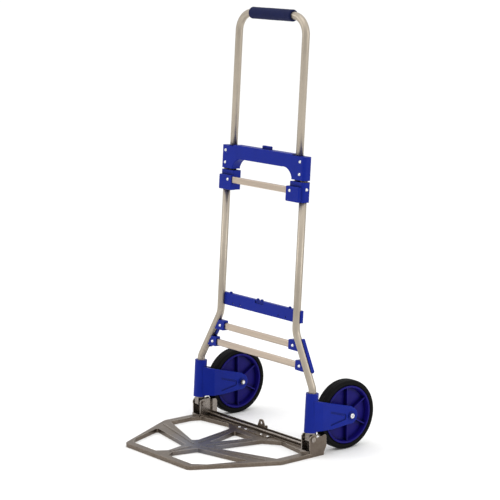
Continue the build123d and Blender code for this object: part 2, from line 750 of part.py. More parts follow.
# ---------------------------------------------------------------- wheels
rim_r = rim_d / 2
hub_r = hub_d / 2
hub_half = fork_slot_half - washer_thick - slip
rim_half = tyre_width / 2 + 0.5
rim_ring = 8.0
spokes = 6
disc_thick = 4.0
spoke_thick = 3.0

with BuildPart() as wheel_rim:
    with BuildSketch(axle_plane(wheel_x)):
        with BuildLine():
            Polyline(
                (-hub_half, axle_d / 2 + bush_wall + seat),
                (hub_half, axle_d / 2 + bush_wall + seat),
                (hub_half, hub_r),
                (disc_thick / 2, hub_r + 1.5),
                (disc_thick / 2, rim_r - rim_ring),
                (rim_half - 1, rim_r - rim_ring + 3),
                (rim_half, rim_r - rim_ring + 4),
                (rim_half, rim_r - 1),
                (rim_half - 1, rim_r),
                (1 - rim_half, rim_r),
                (-rim_half, rim_r - 1),
                (-rim_half, rim_r - rim_ring + 4),
                (1 - rim_half, rim_r - rim_ring + 3),
                (-disc_thick / 2, rim_r - rim_ring),
                (-disc_thick / 2, hub_r + 1.5),
                (-hub_half, hub_r),
                close=True,
            )
        make_face()
    revolve(axis=Axis((wheel_x, hinge_y + axle_back, wheel_r), (1, 0, 0)))
    with BuildSketch(side_plane(wheel_x - rim_half + 3.5)) as ribs:
        with Locations((axle_back, wheel_r)):
            with PolarLocations((rim_r + hub_r - 4) / 2, spokes, start_angle=90):
                Rectangle(rim_r - hub_r - 4, spoke_thick)
    extrude(amount=2 * rim_half - 7)
save_pair(wheel_rim, "wheel_rim")

tyre_shoulder = 9.0
with BuildPart() as tyre:
    with BuildSketch(axle_plane(wheel_x)) as section:
        with Locations((0, (wheel_r + rim_r + seat) / 2)):
            Rectangle(tyre_width, wheel_r - rim_r - seat)
        fillet(section.vertices().group_by(Axis.Y)[-1], radius=tyre_shoulder)
        with GridLocations(tyre_width / 4, 0, 3, 1):  # rain grooves
            with Locations((0, wheel_r)):
                Circle(1.0, mode=Mode.SUBTRACT)
    revolve(axis=Axis((wheel_x, hinge_y + axle_back, wheel_r), (1, 0, 0)))
save_pair(tyre, "tyre")

with BuildPart() as hub_bush:
    with BuildSketch(side_plane(wheel_x - hub_half)):
        with Locations((axle_back, wheel_r)):
            Circle(axle_d / 2 + bush_wall)
            Circle(axle_d / 2 + run, mode=Mode.SUBTRACT)
    extrude(amount=2 * hub_half)
save_pair(hub_bush, "hub_bush")

head_d = 13.0
head_h = 4.6
nut_h = 5.5
arm_out = fork_half + boss_h

with BuildPart() as axle_bolt:
    with BuildSketch(side_plane(wheel_x - arm_out - nut_h - 2.0)):
        with Locations((axle_back, wheel_r)):
            Circle(axle_d / 2)
    extrude(amount=2 * arm_out + nut_h + 2.0 + seat)
    with BuildSketch(side_plane(wheel_x + arm_out + seat)):
        with Locations((axle_back, wheel_r)):
            Circle(head_d / 2)
    extrude(amount=head_h)
    fillet(axle_bolt.faces().sort_by(Axis.X)[-1].edges(), radius=2.0)
    with BuildSketch(side_plane(wheel_x + arm_out + head_h + seat)):
        with Locations((axle_back, wheel_r)):
            RegularPolygon(3.0, 6)
    extrude(amount=-2.6, mode=Mode.SUBTRACT)
save_pair(axle_bolt, "axle_bolt")

with BuildPart() as axle_nut:
    with BuildSketch(side_plane(wheel_x - arm_out - seat)):
        with Locations((axle_back, wheel_r)):
            RegularPolygon(head_d / 2, 6)
            Circle(axle_d / 2 + run, mode=Mode.SUBTRACT)
    extrude(amount=-nut_h)
save_pair(axle_nut, "axle_nut")

with BuildPart() as axle_washers:
    for start in (fork_slot_half - washer_thick - seat, -fork_slot_half + seat):
        with BuildSketch(side_plane(wheel_x + start)):
            with Locations((axle_back, wheel_r)):
                Circle(hub_r - 3)
                Circle(axle_d / 2 + seat, mode=Mode.SUBTRACT)
        extrude(amount=washer_thick)
save_pair(axle_washers, "axle_washers")

# ---------------------------------------------------------------- steel feet in the tube ends
foot_flange_h = 3.0
foot_width = 16.0
tongue_half = 9.0
plug_length = 30.0

with BuildPart() as tube_foot:
    with BuildSketch(ring_plane(foot_half, sleeve_low - slip - seat)):
        Circle(tube_r + 2.0)
    extrude(amount=-foot_flange_h)
    with BuildSketch(ring_plane(foot_half, sleeve_low - slip - seat - 1)):
        Circle(tube_r - tube_wall - seat)
    extrude(amount=plug_length)
    with BuildSketch(side_plane(foot_half - foot_width / 2)) as tongue:
        with Locations((0, hinge_z)):
            Circle(tongue_half)
        with Locations((0.4, hinge_z + 7)):
            Rectangle(2 * tongue_half, 14)
    extrude(amount=foot_width)
    with BuildSketch(side_plane(foot_half - tube_d)):
        with Locations((0, hinge_z)):
            Circle(hinge_pin_d / 2 + seat)
    extrude(amount=2 * tube_d, mode=Mode.SUBTRACT)
save_pair(tube_foot, "tube_foot")

wall_inner = hinge_wall_x - hinge_wall_thick
with BuildPart() as hinge_pin:
    with BuildSketch(side_plane(wall_inner - slip)):
        with Locations((0, hinge_z)):
            Circle(hinge_pin_d / 2)
    extrude(amount=toe_ear_half + slip - wall_inner + slip)
    with BuildSketch(side_plane(wall_inner - slip)):
        with Locations((0, hinge_z)):
            RegularPolygon(7.5, 6)
    extrude(amount=-5.0)
    with BuildSketch(side_plane(toe_ear_half + slip)):
        with Locations((0, hinge_z)):
            Circle(6.5)
    extrude(amount=toe_width / 2 - toe_ear_half - slip)
save_pair(hinge_pin, "hinge_pin")

# ---------------------------------------------------------------- toe plate
leg_opening_half = foot_width / 2 + 1.7
leg_opening_ahead = 12.0
leg_opening_behind = 14.0
front_corner_r = 16.0
side_corner_r = 14.0
window_r = 5.0

toe_outline = [
    (toe_front_half, -toe_reach),
    (toe_width / 2, -toe_corner_ahead),
    (toe_ear_half, 0),
    (toe_ear_half, toe_tail - 9),
    (toe_ear_half - 9, toe_tail),
    (foot_half - leg_opening_half - 8, toe_tail),
    (foot_half - leg_opening_half - 14, toe_rear_back),
]
front_window = [(26, -288), (122, -288), (148, -262), (188, -164), (24, -196), (9, -262)]
side_window = [(44, -162), (218, -100), (218, -32), (206, -8), (108, 6), (66, -24), (36, -146)]
rear_window = [(0, -148), (38, -28), (-38, -28)]


bead_lines = [((16, -178), (206, -130)), ((16, -160), (50, -44)), ((0.01, -196), (0, -262))]
bead_w = 5.0
bead_h = 1.2
ear_lobe_r = 12.0
ear_corner_r = 5.0
rail_rivet_spots = [(side * x, 3) for side in (-1, 1) for x in (31, 57)]


def bracket_rivet_spots(side):
    """Rivets of the right or left hinge bracket; y is measured back from the hinge line."""
    return [(side * (wall_inner + 8), 22), (side * (wall_inner + 19), 30)]


def bead_turn(x0, y0, x1, y1):
    """Angle of a bead from the X axis, in degrees."""
    return degrees(atan2(y1 - y0, x1 - x0))


def mirrored(points):
    """The same outline on the other side of the centre line."""
    return [(-x, y) for x, y in reversed(points)]


def toe_sketch(points, corner_r, z):
    """Rounded polygon in the plane of the toe plate; y is measured back from the hinge line."""
    with BuildSketch(Plane(origin=(0, hinge_y, z))) as shape:
        with BuildLine():
            Polyline(*points, close=True)
        make_face()
        fillet(shape.vertices(), radius=corner_r)
    return shape.sketch


windows = [front_window, mirrored(front_window), side_window, mirrored(side_window), rear_window]

with BuildPart() as toe_plate:
    with BuildSketch(Plane(origin=(0, hinge_y, 0))) as blank:
        with BuildLine():
            Polyline(*toe_outline, *mirrored(toe_outline), close=True)
        make_face()
        fillet(blank.vertices().group_by(Axis.Y)[0], radius=front_corner_r)
        corners = blank.vertices().filter_by(lambda v: abs(abs(v.X) - toe_width / 2) < 0.1)
        fillet(corners, radius=side_corner_r)
    extrude(amount=toe_top_z)
    top = toe_plate.faces().sort_by(Axis.Z)[-1]
    fillet(top.edges(), radius=1.8)
    for points in windows:
        extrude(toe_sketch(points, window_r, 0), amount=toe_top_z, mode=Mode.SUBTRACT)
    with BuildSketch(Plane(origin=(0, hinge_y, 0))) as underside:  # hollow below, walls left standing
        with BuildLine():
            Polyline(*toe_outline, *mirrored(toe_outline), close=True)
        make_face()
        fillet(underside.vertices().group_by(Axis.Y)[0], radius=front_corner_r)
        corners = underside.vertices().filter_by(lambda v: abs(abs(v.X) - toe_width / 2) < 0.1)
        fillet(corners, radius=side_corner_r)
        offset(amount=-toe_flange, mode=Mode.REPLACE)
    extrude(amount=toe_top_z - toe_skin, mode=Mode.SUBTRACT)
    for points in windows:
        wall = offset(toe_sketch(points, window_r, 0), amount=toe_flange, mode=Mode.PRIVATE)
        hole = toe_sketch(points, window_r, 0)
        ring = extrude(wall - hole, amount=toe_top_z - toe_skin, mode=Mode.PRIVATE)
        add(ring)
    for side in (-1, 1):
        with BuildSketch(side_plane(side * toe_ear_half)) as ear:  # side ears, hinge lobe at the front
            with BuildLine():
                Polyline(
                    (-ear_lobe_r + 1, toe_skin),
                    (-ear_lobe_r + 1, hinge_z),
                    (ear_lobe_r - 1, hinge_z + 2),
                    (toe_tail - 1.5, ear_top_z),
                    (toe_tail, toe_top_z + 12),
                    (toe_tail - 11, toe_skin),
                    close=True,
                )
            make_face()
            fillet(ear.vertices().sort_by(Axis.X)[-3:], radius=ear_corner_r)
            with Locations((0, hinge_z)):
                Circle(ear_lobe_r)
                Circle(hinge_pin_d / 2 + run, mode=Mode.SUBTRACT)
        extrude(amount=-side * ear_thick)
        with BuildSketch(Plane(origin=(0, hinge_y, 0))):  # opening under the foot
            with Locations((side * foot_half, (leg_opening_behind - leg_opening_ahead) / 2)):
                Rectangle(2 * leg_opening_half, leg_opening_ahead + leg_opening_behind)
        extrude(amount=toe_top_z, mode=Mode.SUBTRACT)
    with BuildSketch(Plane(origin=(0, hinge_y, toe_top_z - toe_skin - 1))):
        with Locations(*rail_rivet_spots, *bracket_rivet_spots(1), *bracket_rivet_spots(-1)):
            Circle(rivet_d / 2 + seat)
    extrude(amount=toe_skin + 2, mode=Mode.SUBTRACT)
    with BuildSketch(Plane(origin=(0, hinge_y, toe_top_z - 0.5))) as beads:  # stiffening beads on the struts
        for side in (-1, 1):
            for (x0, y0), (x1, y1) in bead_lines:
                with Locations(Location((side * (x0 + x1) / 2, (y0 + y1) / 2), side * bead_turn(x0, y0, x1, y1))):
                    SlotCenterToCenter(hypot(x1 - x0, y1 - y0), bead_w)
    extrude(amount=0.5 + bead_h)
save(toe_plate, "toe_plate")

# ---------------------------------------------------------------- hinge brackets, rear rail, tie rod
base_thick = 2.5
base_top_z = toe_top_z + base_thick
base_outer = toe_ear_half - ear_thick - slip
wall_top_z = 57.0
wall_back = 25.0
step_in = 6.0
step_back = 40.0
lip_ahead = 15.0
lip_thick = 2.5
lip_top_z = 17.0
rod_y = 20.0
rod_z = base_top_z + tie_rod_d / 2 + 1.0
rod_half = hinge_wall_x + 0.5

with BuildPart() as hinge_bracket:
    with BuildSketch(Plane(origin=(0, hinge_y, toe_top_z))) as base:
        with BuildLine():
            Polyline(
                (wall_inner, -lip_ahead),
                (base_outer, -lip_ahead),
                (base_outer, step_back - 2),
                (wall_inner - step_in, step_back - 2),
                (wall_inner - step_in, wall_back + 3),
                (wall_inner, wall_back + 1),
                close=True,
            )
        make_face()
        with Locations((foot_half, (leg_opening_behind - leg_opening_ahead) / 2)):
            Rectangle(2 * leg_opening_half, leg_opening_ahead + leg_opening_behind, mode=Mode.SUBTRACT)
    extrude(amount=base_thick)
    with BuildSketch(Plane(origin=(0, hinge_y, toe_top_z))):  # front lip
        with Locations(((wall_inner + base_outer) / 2, -lip_ahead + lip_thick / 2)):
            Rectangle(base_outer - wall_inner, lip_thick)
    extrude(amount=lip_top_z - toe_top_z)
    with BuildSketch(side_plane(wall_inner)) as wall:  # inner hinge wall
        with BuildLine():
            Polyline(
                (-11, toe_top_z), (wall_back + 3, toe_top_z), (wall_back + 3, wall_top_z), (-11, wall_top_z),
                close=True,
            )
        make_face()
        fillet(wall.vertices().group_by(Axis.Y)[-1], radius=8)
        with Locations((0, hinge_z)):
            Circle(hinge_pin_d / 2 + run, mode=Mode.SUBTRACT)
        with Locations((rod_y, rod_z)):
            Circle(tie_rod_d / 2 + seat, mode=Mode.SUBTRACT)
    extrude(amount=hinge_wall_thick)
    with BuildSketch(side_plane(wall_inner - step_in)) as tail:  # stepped tail of the wall
        with BuildLine():
            Polyline(
                (wall_back, toe_top_z), (step_back, toe_top_z), (step_back, wall_top_z - 2),
                (wall_back, wall_top_z - 2),
                close=True,
            )
        make_face()
        fillet(tail.vertices().group_by(Axis.Y)[-1].sort_by(Axis.X)[-1], radius=8)
    extrude(amount=hinge_wall_thick)
    with BuildSketch(side_plane(wall_inner - step_in)):  # jog that joins wall and tail
        with Locations(((wall_back + wall_back + 3) / 2, (toe_top_z + wall_top_z - 9) / 2)):
            Rectangle(3, wall_top_z - 9 - toe_top_z)
    extrude(amount=step_in + hinge_wall_thick)
    with BuildSketch(Plane(origin=(0, hinge_y, toe_top_z - 1))):
        with Locations(*bracket_rivet_spots(1)):
            Circle(rivet_d / 2 + seat)
    extrude(amount=base_thick + 2, mode=Mode.SUBTRACT)
save_pair(hinge_bracket, "hinge_bracket")

rail_half = wall_inner - step_in - slip
rail_front = 10.0
rail_thick = 2.4
rail_wing_front = -4.0
rail_wing_half = 62.0

with BuildPart() as rear_rail:
    with BuildSketch(Plane(origin=(0, hinge_y, toe_top_z))):
        with Locations((0, (rail_front + toe_rear_back) / 2)):
            Rectangle(2 * rail_half, toe_rear_back - rail_front)
        with Locations((0, (rail_wing_front + rail_front) / 2)):
            Rectangle(2 * rail_wing_half, rail_front - rail_wing_front)
        with Locations(*rail_rivet_spots):
            Circle(rivet_d / 2 + seat, mode=Mode.SUBTRACT)
    extrude(amount=rail_thick)
    with BuildSketch(Plane(origin=(0, hinge_y, toe_top_z))):
        with Locations((0, toe_rear_back - rail_thick / 2)):
            Rectangle(2 * rail_half, rail_thick)
    extrude(amount=rail_top_z - toe_top_z)
    with BuildSketch(Plane(origin=(0, hinge_y + toe_rear_back, 0), x_dir=(1, 0, 0), z_dir=(0, -1, 0))) as lug:
        with BuildLine():
            Polyline(
                (-16, rail_top_z - 1), (16, rail_top_z - 1), (7, lug_top_z), (-7, lug_top_z), close=True
            )
        make_face()
        fillet(lug.vertices().group_by(Axis.Y)[-1], radius=6)
        with Locations((0, lug_top_z - 9)):
            Circle(lug_hole_d / 2, mode=Mode.SUBTRACT)
    extrude(amount=rail_thick)
    with BuildSketch(Plane(origin=(0, hinge_y + toe_rear_back, 0), x_dir=(1, 0, 0), z_dir=(0, -1, 0))):
        with Locations((20, rail_top_z + 3)):  # small stop tab beside the lug
            RectangleRounded(7, 8, 2)
    extrude(amount=rail_thick)
save(rear_rail, "rear_rail")

with BuildPart() as tie_rod:
    with BuildSketch(side_plane(-rod_half)):
        with Locations((rod_y, rod_z)):
            Circle(tie_rod_d / 2)
    extrude(amount=2 * rod_half)
save(tie_rod, "tie_rod")

with BuildPart() as plate_rivets:
    spots = rail_rivet_spots + bracket_rivet_spots(1) + bracket_rivet_spots(-1)
    tops = [toe_top_z + rail_thick] * 4 + [base_top_z] * 2 * len(bracket_rivet_spots(1))
    for spot, z in zip(spots, tops):
        with BuildSketch(Plane(origin=(0, hinge_y, toe_top_z - toe_skin))):
            with Locations(spot):
                Circle(rivet_d / 2)
        extrude(amount=z + 2 * seat - toe_top_z + toe_skin)
        with BuildSketch(Plane(origin=(0, hinge_y, z + seat))):
            with Locations(spot):
                Circle(rivet_head_d / 2 - 0.5)
        extrude(amount=rivet_head_h - 0.4, taper=35)
save(plate_rivets, "plate_rivets")

hook_x = base_outer - 3.0
hook_r = 1.75
with BuildPart() as drive_hook:
    with BuildLine(side_plane(hook_x)) as hook_line:
        FilletPolyline((27, base_top_z + seat), (27, 49), (18, 55), (15, 50), radius=2.8)
    with BuildSketch(Plane(origin=hook_line.line @ 0, z_dir=(0, 0, 1))):
        Circle(hook_r)
    sweep(path=hook_line.line)
    with BuildSketch(Plane(origin=(hook_x, hinge_y + 27, base_top_z + seat))):
        RectangleRounded(6, 7, 1.2)
    extrude(amount=3)
save_pair(drive_hook, "drive_hook")
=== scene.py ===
"""Folding hand truck: the looks of every piece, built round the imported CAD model, in metres."""

import json
from math import radians

import bpy
import numpy as np
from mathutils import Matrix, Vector


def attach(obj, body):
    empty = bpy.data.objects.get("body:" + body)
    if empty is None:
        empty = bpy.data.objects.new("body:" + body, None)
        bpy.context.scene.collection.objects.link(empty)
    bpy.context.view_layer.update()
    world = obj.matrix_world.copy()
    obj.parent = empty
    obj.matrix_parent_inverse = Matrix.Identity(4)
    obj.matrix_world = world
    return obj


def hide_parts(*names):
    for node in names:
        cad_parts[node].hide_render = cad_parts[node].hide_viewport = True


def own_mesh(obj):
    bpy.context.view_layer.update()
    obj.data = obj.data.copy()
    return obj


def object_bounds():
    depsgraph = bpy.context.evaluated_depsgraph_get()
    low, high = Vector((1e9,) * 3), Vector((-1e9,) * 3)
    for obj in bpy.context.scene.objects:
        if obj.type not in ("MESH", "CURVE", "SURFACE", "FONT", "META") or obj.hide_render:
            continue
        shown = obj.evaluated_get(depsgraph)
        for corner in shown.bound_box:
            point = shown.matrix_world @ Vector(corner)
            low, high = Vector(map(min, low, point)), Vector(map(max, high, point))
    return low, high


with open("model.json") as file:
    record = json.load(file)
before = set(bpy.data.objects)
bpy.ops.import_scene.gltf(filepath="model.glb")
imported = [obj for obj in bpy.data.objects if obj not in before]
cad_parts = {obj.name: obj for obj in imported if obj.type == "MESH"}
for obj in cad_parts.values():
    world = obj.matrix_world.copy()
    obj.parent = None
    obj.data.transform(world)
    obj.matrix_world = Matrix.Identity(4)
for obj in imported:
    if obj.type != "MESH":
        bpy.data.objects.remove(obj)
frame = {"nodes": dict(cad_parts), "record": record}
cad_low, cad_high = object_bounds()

# ---------------------------------------------------------------- camera
# A long lens from the front right, a little above the middle of the truck.
camera_place = Vector((3.699, -2.9426, 1.3633))
camera_aim = Vector((0.0004, 0.04145, 0.4878))
camera = bpy.data.objects.new("camera", bpy.data.cameras.new("camera"))
bpy.context.scene.collection.objects.link(camera)
bpy.context.scene.camera = camera
camera.data.lens = 138.34
camera.data.sensor_width = 36.0
camera.location = camera_place
camera.rotation_mode = "QUATERNION"
camera.rotation_quaternion = (camera_aim - camera_place).to_track_quat("-Z", "Y")


# ---------------------------------------------------------------- floor and studio light
# A pale matt floor that runs past the edges of the view, under a white ceiling with dim walls, so that
# metal and plastic keep their contrast. Three soft boxes: at the front left, at the back right and above.
def linear(code):
    """Linear red, green, blue and full alpha from an sRGB hex code."""
    parts = np.array([int(code[i:i + 2], 16) for i in (1, 3, 5)]) / 255
    straight = np.where(parts <= 0.04045, parts / 12.92, ((parts + 0.055) / 1.055) ** 2.4)
    return (*straight.tolist(), 1.0)


def put(material, kind, inputs=None, **settings):
    """Add a shader node: its own settings first, then each input's value or the socket linked to it."""
    made = material.node_tree.nodes.new("ShaderNode" + kind)
    for name, value in settings.items():
        setattr(made, name, value)
    for name, value in (inputs or {}).items():
        if isinstance(value, bpy.types.NodeSocket):
            material.node_tree.links.new(value, made.inputs[name])
        else:
            made.inputs[name].default_value = value
    return made


def new_material(name):
    """An empty node material and its output node."""
    material = bpy.data.materials.new(name)
    material.use_nodes = True
    material.node_tree.nodes.clear()
    return material, put(material, "OutputMaterial")


def painted_floor():
    """Painted board: matt, with a very slight mottle from the roller, about 40 mm across."""
    material, out = new_material("painted_board_floor")
    place = put(material, "TexCoord").outputs["Object"]
    mottle = put(material, "TexNoise", {"Vector": place, "Scale": 25.0, "Detail": 3.0})
    tone = put(material, "Mix", {0: mottle.outputs[0], 6: linear("#F3F3F2"), 7: linear("#F8F8F7")},
               data_type="RGBA")
    coat = put(material, "BsdfPrincipled", {"Base Color": tone.outputs[2], "Roughness": 0.9,
                                            "Specular IOR Level": 0.1})
    material.node_tree.links.new(coat.outputs[0], out.inputs[0])
    return material


floor_mesh = bpy.data.meshes.new("floor")
reach = 60.0
floor_mesh.from_pydata(
    [(-reach, -reach, 0), (reach, -reach, 0), (reach, reach, 0), (-reach, reach, 0)], [], [(0, 1, 2, 3)]
)
floor = bpy.data.objects.new("floor", floor_mesh)
bpy.context.scene.collection.objects.link(floor)
floor.data.materials.append(painted_floor())

wall_light = 0.42
ceiling_light = 1.22
ceiling_starts = 0.5  # sine of the height angle from which the ceiling is at full strength
world = bpy.data.worlds.new("studio")
world.use_nodes = True
sky = world.node_tree
way = sky.nodes.new("ShaderNodeTexCoord")
split = sky.nodes.new("ShaderNodeSeparateXYZ")
rise = sky.nodes.new("ShaderNodeMapRange")
rise.inputs["From Max"].default_value = ceiling_starts
rise.inputs["To Min"].default_value = wall_light
rise.inputs["To Max"].default_value = ceiling_light
sky.links.new(way.outputs["Generated"], split.inputs[0])
sky.links.new(split.outputs[2], rise.inputs[0])
sky.links.new(rise.outputs[0], sky.nodes["Background"].inputs[1])
sky.nodes["Background"].inputs[0].default_value = linear("#FFFFFF")
bpy.context.scene.world = world
bpy.context.scene.view_settings.view_transform = "Standard"

truck_middle = (cad_low + cad_high) / 2
for name, place, size, power in (
    ("front_softbox", (-1.8, -2.4, 1.9), 1.1, 15.0),
    ("back_softbox", (2.6, 1.4, 1.5), 1.0, 14.0),
    ("top_softbox", (0.4, -0.4, 3.2), 1.4, 9.0),
):
    light = bpy.data.objects.new(name, bpy.data.lights.new(name, "AREA"))
    light.data.shape = "SQUARE"
    light.data.size = size
    light.data.energy = power
    light.location = place
    light.rotation_mode = "QUATERNION"
    light.rotation_quaternion = (truck_middle - Vector(place)).to_track_quat("-Z", "Y")
    bpy.context.scene.collection.objects.link(light)


# ---------------------------------------------------------------- frame tubes and handle tube
# Round aluminium tube, 19 mm, drawn, bent cold in one plane and then anodised a pale champagne. The die
# leaves faint lines along the tube, and the satin etch a soft, slightly cloudy sheen.
lean = radians(3.6)
hinge_y = 0.05025
hinge_z = 0.045
tube_r = 0.0095
tube_bore_r = 0.0080


def on_frame(points):
    """Points (x, u, n) of the leaning frame plane: x across, u up the tubes, n forwards, from the hinge."""
    x, u, n = np.asarray(points, float).T
    return np.stack([x, hinge_y + u * np.sin(lean) - n * np.cos(lean),
                     hinge_z + u * np.cos(lean) + n * np.sin(lean)], axis=1)


def surface(name, grid, material, uv=None, wrap_rows=False):
    """A mesh from a rows x columns grid of points; columns close on themselves, rows too where asked.

    Vertex k = row * columns + column, and face (i, j) joins (i, j), (i, j + 1), (i + 1, j + 1), (i + 1, j).
    uv holds a pair for each row line and column line of the grid.
    """
    rows, columns = grid.shape[:2]
    i, j = np.meshgrid(np.arange(rows if wrap_rows else rows - 1), np.arange(columns), indexing="ij")
    i2, j2 = (i + 1) % rows, (j + 1) % columns
    quads = np.stack([i * columns + j, i * columns + j2, i2 * columns + j2, i2 * columns + j], axis=-1)
    quads = quads.reshape(-1, 4)
    mesh = bpy.data.meshes.new(name)
    mesh.from_pydata(grid.reshape(-1, 3).tolist(), [], quads.tolist())
    mesh.polygons.foreach_set("use_smooth", np.ones(len(quads), bool))
    if uv is not None:
        a, b = i + 1, j + 1
        corners = np.stack([uv[i, j], uv[i, b], uv[a, b], uv[a, j]], axis=-2).reshape(-1, 4, 2)
        mesh.uv_layers.new(name="length").data.foreach_set("uv", corners.reshape(-1).astype(np.float32))
    mesh.materials.append(material)
    made = bpy.data.objects.new(name, mesh)
    bpy.context.scene.collection.objects.link(made)
    return made


def bent_line(corners, radii, step=0.0035):
    """Points and unit tangents along a line through corners, each inner corner rounded by an arc.

    At a corner that turns by angle a the arc starts and ends r tan(a / 2) away, and is sampled evenly in a.
    """
    corners = np.asarray(corners, float)
    legs = np.diff(corners, axis=0)
    unit = legs / np.linalg.norm(legs, axis=1, keepdims=True)
    points, tangents = [corners[0]], [unit[0]]
    for corner, before, after, r in zip(corners[1:-1], unit[:-1], unit[1:], radii):
        turn = np.arccos(np.clip(before @ after, -1, 1))
        cut = r * np.tan(turn / 2)
        inward = after - before * np.cos(turn)
        inward /= np.linalg.norm(inward)
        a = np.linspace(0, turn, max(3, int(r * turn / step) + 1))[:, None]
        points.append(corner - cut * before + r * (np.sin(a) * before + (1 - np.cos(a)) * inward))
        tangents.append(np.cos(a) * before + np.sin(a) * inward)
    points.append(corners[-1])
    tangents.append(unit[-1])
    return np.vstack(points), np.vstack(tangents)


def tube(name, corners, radii, material):
    """An open tube with thickness: circles across a bent line in the frame plane, outside then inside.

    A ring point is c + r (cos t side + sin t front), with side = tangent turned by 90 degrees in the plane.
    """
    line, tangent = bent_line(corners, radii)
    t = np.linspace(0, 2 * np.pi, 49)[:-1]
    side = np.stack([-tangent[:, 1], tangent[:, 0]], axis=1)
    rings = []
    for r in (tube_r, tube_bore_r):
        flat = line[:, None, :] + r * np.cos(t)[None, :, None] * side[:, None, :]
        front = np.broadcast_to(r * np.sin(t)[None, :, None], flat.shape[:2] + (1,))
        rings.append(np.concatenate([flat, front], axis=2))
    grid = np.concatenate([rings[0], rings[1][::-1]])
    grid = on_frame(grid.reshape(-1, 3)).reshape(grid.shape)
    run = np.concatenate([[0], np.cumsum(np.linalg.norm(np.diff(line, axis=0), axis=1))])
    run = np.concatenate([run, run[::-1], run[:1]])
    around = np.linspace(0, 2 * np.pi * tube_r, len(t) + 1)
    uv = np.stack(np.meshgrid(run, around, indexing="ij"), axis=-1)
    return surface(name, grid, material, uv, wrap_rows=True)


def drawn_aluminium(name, pale, dark, roughness):
    """Anodised drawn tube: lines along it about 0.5 mm apart, a cloudy etch about 40 mm across."""
    material, out = new_material(name)
    along = put(material, "TexCoord").outputs["UV"]
    place = put(material, "TexCoord").outputs["Object"]
    drawn = put(material, "Mapping", {"Vector": along, "Scale": (8, 2000, 1)})
    lines = put(material, "TexNoise", {"Vector": drawn.outputs[0], "Scale": 1.0, "Detail": 3.0})
    cloud = put(material, "TexNoise", {"Vector": place, "Scale": 25.0, "Detail": 3.0})
    tone = put(material, "Mix", {0: cloud.outputs[0], 6: linear(dark), 7: linear(pale)}, data_type="RGBA")
    rough = put(material, "MapRange", {0: cloud.outputs[0], 3: roughness - 0.05, 4: roughness + 0.07})
    bump = put(material, "Bump", {"Height": lines.outputs[0], "Strength": 0.15, "Distance": 0.0002})
    metal = put(material, "BsdfPrincipled", {
        "Base Color": tone.outputs[2], "Metallic": 1.0, "Roughness": rough.outputs[0],
        "Normal": bump.outputs[0]})
    material.node_tree.links.new(metal.outputs[0], out.inputs[0])
    return material


def up(z):
    """Distance along the tubes from the hinge line to height z."""
    return (z - hinge_z) / np.cos(lean)


tube_metal = drawn_aluminium("anodised_champagne_tube", "#B4AA9B", "#A2988B", 0.42)
frame_half = 0.151
foot_half = 0.225
frame_top_z = 0.7255
knee_z = 0.300
ankle_z = 0.170
frame_foot_z = 0.0617
frame_bends = (0.050, 0.028)
for side, word in ((1, "right"), (-1, "left")):
    route = [(side * frame_half, up(frame_top_z)), (side * frame_half, up(knee_z)),
             (side * foot_half, up(ankle_z)), (side * foot_half, up(frame_foot_z))]
    piece = tube(f"bent_frame_tube_{word}", route, frame_bends, tube_metal)
    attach(piece, "frame")
    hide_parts(f"frame_tube_{word}")

handle_half = 0.130
handle_foot_z = 0.632
handle_top_z = 1.075
handle_bend = 0.048
handle_route = [(-handle_half, up(handle_foot_z)), (-handle_half, up(handle_top_z)),
                (handle_half, up(handle_top_z)), (handle_half, up(handle_foot_z))]
hoop = tube("bent_handle_tube", handle_route, (handle_bend, handle_bend), tube_metal)
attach(hoop, "handle")
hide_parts("handle_tube")


# ---------------------------------------------------------------- handle grip
# A navy closed-cell foam sleeve pushed over the bend-free middle of the handle. It is cut from a long hose,
# so its ends are only slightly rounded, and it swells and shrinks a little along its length.
def foam(name, colour, shade):
    """Closed-cell foam rubber: a skin with pores about 1 mm across, little gloss."""
    material, out = new_material(name)
    place = put(material, "TexCoord").outputs["Object"]
    pores = put(material, "TexVoronoi", {"Vector": place, "Scale": 900.0})
    cloud = put(material, "TexNoise", {"Vector": place, "Scale": 60.0, "Detail": 3.0})
    tone = put(material, "Mix", {0: cloud.outputs[0], 6: linear(shade), 7: linear(colour)},
               data_type="RGBA")
    bump = put(material, "Bump", {"Height": pores.outputs[0], "Strength": 0.5, "Distance": 0.0004})
    skin = put(material, "BsdfPrincipled", {
        "Base Color": tone.outputs[2], "Roughness": 0.72, "Specular IOR Level": 0.15,
        "Normal": bump.outputs[0]})
    material.node_tree.links.new(skin.outputs[0], out.inputs[0])
    return material


def sleeve(half, r_out, r_in, edge, material):
    """A foam sleeve along x: outside r = r_out - swell (1 - cos ax cos bx) - edge rounding, inside r_in.

    The edge falls by edge (1 - sqrt(1 - q^2)), with q from 0 to 1 over the last stretch of length edge.
    """
    bend = np.sin(np.linspace(0, np.pi / 2, 12))
    x = np.concatenate([-half + edge * (1 - bend[::-1]), np.linspace(-half + edge, half - edge, 90)[1:-1],
                        half - edge * (1 - bend)])
    q = np.clip((np.abs(x) - (half - edge)) / edge, 0, 1)
    swell = 0.00012
    short_wave = 0.031
    long_wave = 0.047
    wave = swell * (1 - np.cos(2 * np.pi * x / short_wave) * np.cos(2 * np.pi * x / long_wave))
    outside = r_out - wave - edge * (1 - np.sqrt(1 - q ** 2))
    radius = np.concatenate([outside, np.full(len(x), r_in)])
    place = np.concatenate([x, x[::-1]])
    t = np.linspace(0, 2 * np.pi, 65)[:-1]
    grid = np.stack([np.broadcast_to(place[:, None], (len(place), len(t))),
                     up(handle_top_z) + radius[:, None] * np.cos(t), radius[:, None] * np.sin(t)], axis=-1)
    grid = on_frame(grid.reshape(-1, 3)).reshape(grid.shape)
    return surface("foam_grip", grid, material, wrap_rows=True)


